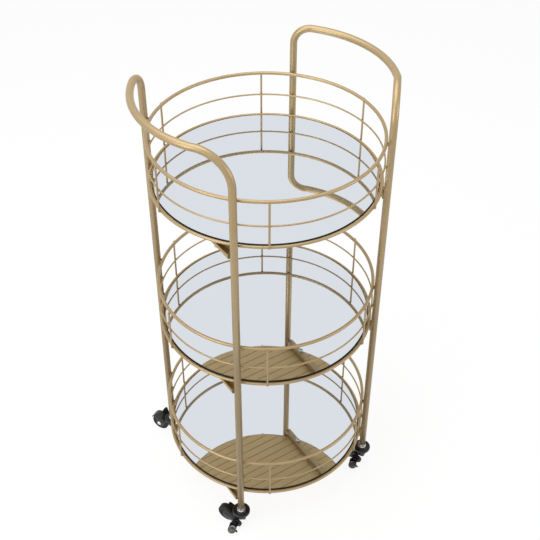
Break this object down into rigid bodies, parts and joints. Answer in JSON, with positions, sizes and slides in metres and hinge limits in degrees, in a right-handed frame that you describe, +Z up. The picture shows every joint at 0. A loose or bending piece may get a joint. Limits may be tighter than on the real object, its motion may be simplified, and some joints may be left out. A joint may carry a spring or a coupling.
{
  "type": "dessert trolley",
  "caption": "Round tiered serving trolley with wire baskets, mirror trays, bowed tube handles and swivel casters.",
  "frame": {"origin": "on the floor under the centre of the round trays", "axes": "+Z up, +X towards the right-hand side frame, +Y towards the back, side frames symmetric about YZ"},
  "size_m": [0.44, 0.4, 0.889],
  "materials": {
    "gold_tube": "satin champagne gold paint",
    "gold_wire": "satin champagne gold paint",
    "gold_sheet": "satin champagne gold paint",
    "mirror_glass": "silvered glass, polished",
    "zinc": "bright zinc plate",
    "black_steel": "gloss black paint",
    "black_wheel": "satin black moulding"
  },
  "bodies": {
    "trolley": {"side_frame_left": "gold_tube", "side_frame_right": "gold_tube", "bottom_rail_hoop": "gold_wire", "bottom_middle_hoop": "gold_wire", "bottom_base_hoop": "gold_wire", "bottom_uprights": "gold_wire", "bottom_tray_pan": "gold_sheet", "bottom_mirror": "mirror_glass", "bottom_crossbar_left": "gold_sheet", "bottom_crossbar_right": "gold_sheet", "bottom_tray_bosses": "gold_sheet", "bottom_tray_screws": "zinc", "middle_rail_hoop": "gold_wire", "middle_middle_hoop": "gold_wire", "middle_base_hoop": "gold_wire", "middle_uprights": "gold_wire", "middle_tray_pan": "gold_sheet", "middle_mirror": "mirror_glass", "middle_crossbar_left": "gold_sheet", "middle_crossbar_right": "gold_sheet", "middle_tray_bosses": "gold_sheet", "middle_tray_screws": "zinc", "top_rail_hoop": "gold_wire", "top_middle_hoop": "gold_wire", "top_base_hoop": "gold_wire", "top_uprights": "gold_wire", "top_tray_pan": "gold_sheet", "top_mirror": "mirror_glass", "top_crossbar_left": "gold_sheet", "top_crossbar_right": "gold_sheet", "top_tray_bosses": "gold_sheet", "top_tray_screws": "zinc", "leg_inserts": "zinc", "front_caster_stem": "zinc", "right_caster_stem": "zinc", "left_caster_stem": "zinc", "rear_caster_stem": "zinc"},
    "front_caster": {"front_caster_housing": "black_steel", "front_caster_axle": "zinc"},
    "front_wheel": {"front_caster_wheel": "black_wheel"},
    "front_brake": {"front_brake_pedal": "zinc", "front_brake_cam": "black_steel"},
    "right_caster": {"right_caster_housing": "black_steel", "right_caster_axle": "zinc"},
    "right_wheel": {"right_caster_wheel": "black_wheel"},
    "right_brake": {"right_brake_pedal": "zinc", "right_brake_cam": "black_steel"},
    "left_caster": {"left_caster_housing": "black_steel", "left_caster_axle": "zinc"},
    "left_wheel": {"left_caster_wheel": "black_wheel"},
    "rear_caster": {"rear_caster_housing": "black_steel", "rear_caster_axle": "zinc"},
    "rear_wheel": {"rear_caster_wheel": "black_wheel"}
  },
  "joints": [
    {"name": "front_swivel", "type": "hinge", "parent": "trolley", "child": "front_caster", "pos_m": [-0.14918, -0.1425, 0.032], "axis": [0, 0, 1], "continuous": true},
    {"name": "front_wheel_spin", "type": "hinge", "parent": "front_caster", "child": "front_wheel", "pos_m": [-0.1642, -0.11425, 0.019], "axis": [-0.8829, -0.4695, 0], "continuous": true},
    {"name": "front_brake_press", "type": "hinge", "parent": "front_caster", "child": "front_brake", "pos_m": [-0.1534, -0.13455, 0.013], "axis": [-0.8829, -0.4695, 0], "range_deg": [-35, 0]},
    {"name": "right_swivel", "type": "hinge", "parent": "trolley", "child": "right_caster", "pos_m": [0.14918, -0.1425, 0.032], "axis": [0, 0, 1], "continuous": true},
    {"name": "right_wheel_spin", "type": "hinge", "parent": "right_caster", "child": "right_wheel", "pos_m": [0.13415, -0.11425, 0.019], "axis": [-0.8829, -0.4695, 0], "continuous": true},
    {"name": "right_brake_press", "type": "hinge", "parent": "right_caster", "child": "right_brake", "pos_m": [0.14495, -0.13455, 0.013], "axis": [-0.8829, -0.4695, 0], "range_deg": [-35, 0]},
    {"name": "left_swivel", "type": "hinge", "parent": "trolley", "child": "left_caster", "pos_m": [-0.14918, 0.1425, 0.032], "axis": [0, 0, 1], "continuous": true},
    {"name": "left_wheel_spin", "type": "hinge", "parent": "left_caster", "child": "left_wheel", "pos_m": [-0.1642, 0.17075, 0.019], "axis": [-0.8829, -0.4695, 0], "continuous": true},
    {"name": "rear_swivel", "type": "hinge", "parent": "trolley", "child": "rear_caster", "pos_m": [0.14918, 0.1425, 0.032], "axis": [0, 0, 1], "continuous": true},
    {"name": "rear_wheel_spin", "type": "hinge", "parent": "rear_caster", "child": "rear_wheel", "pos_m": [0.13415, 0.17075, 0.019], "axis": [-0.8829, -0.4695, 0], "continuous": true}
  ]
}
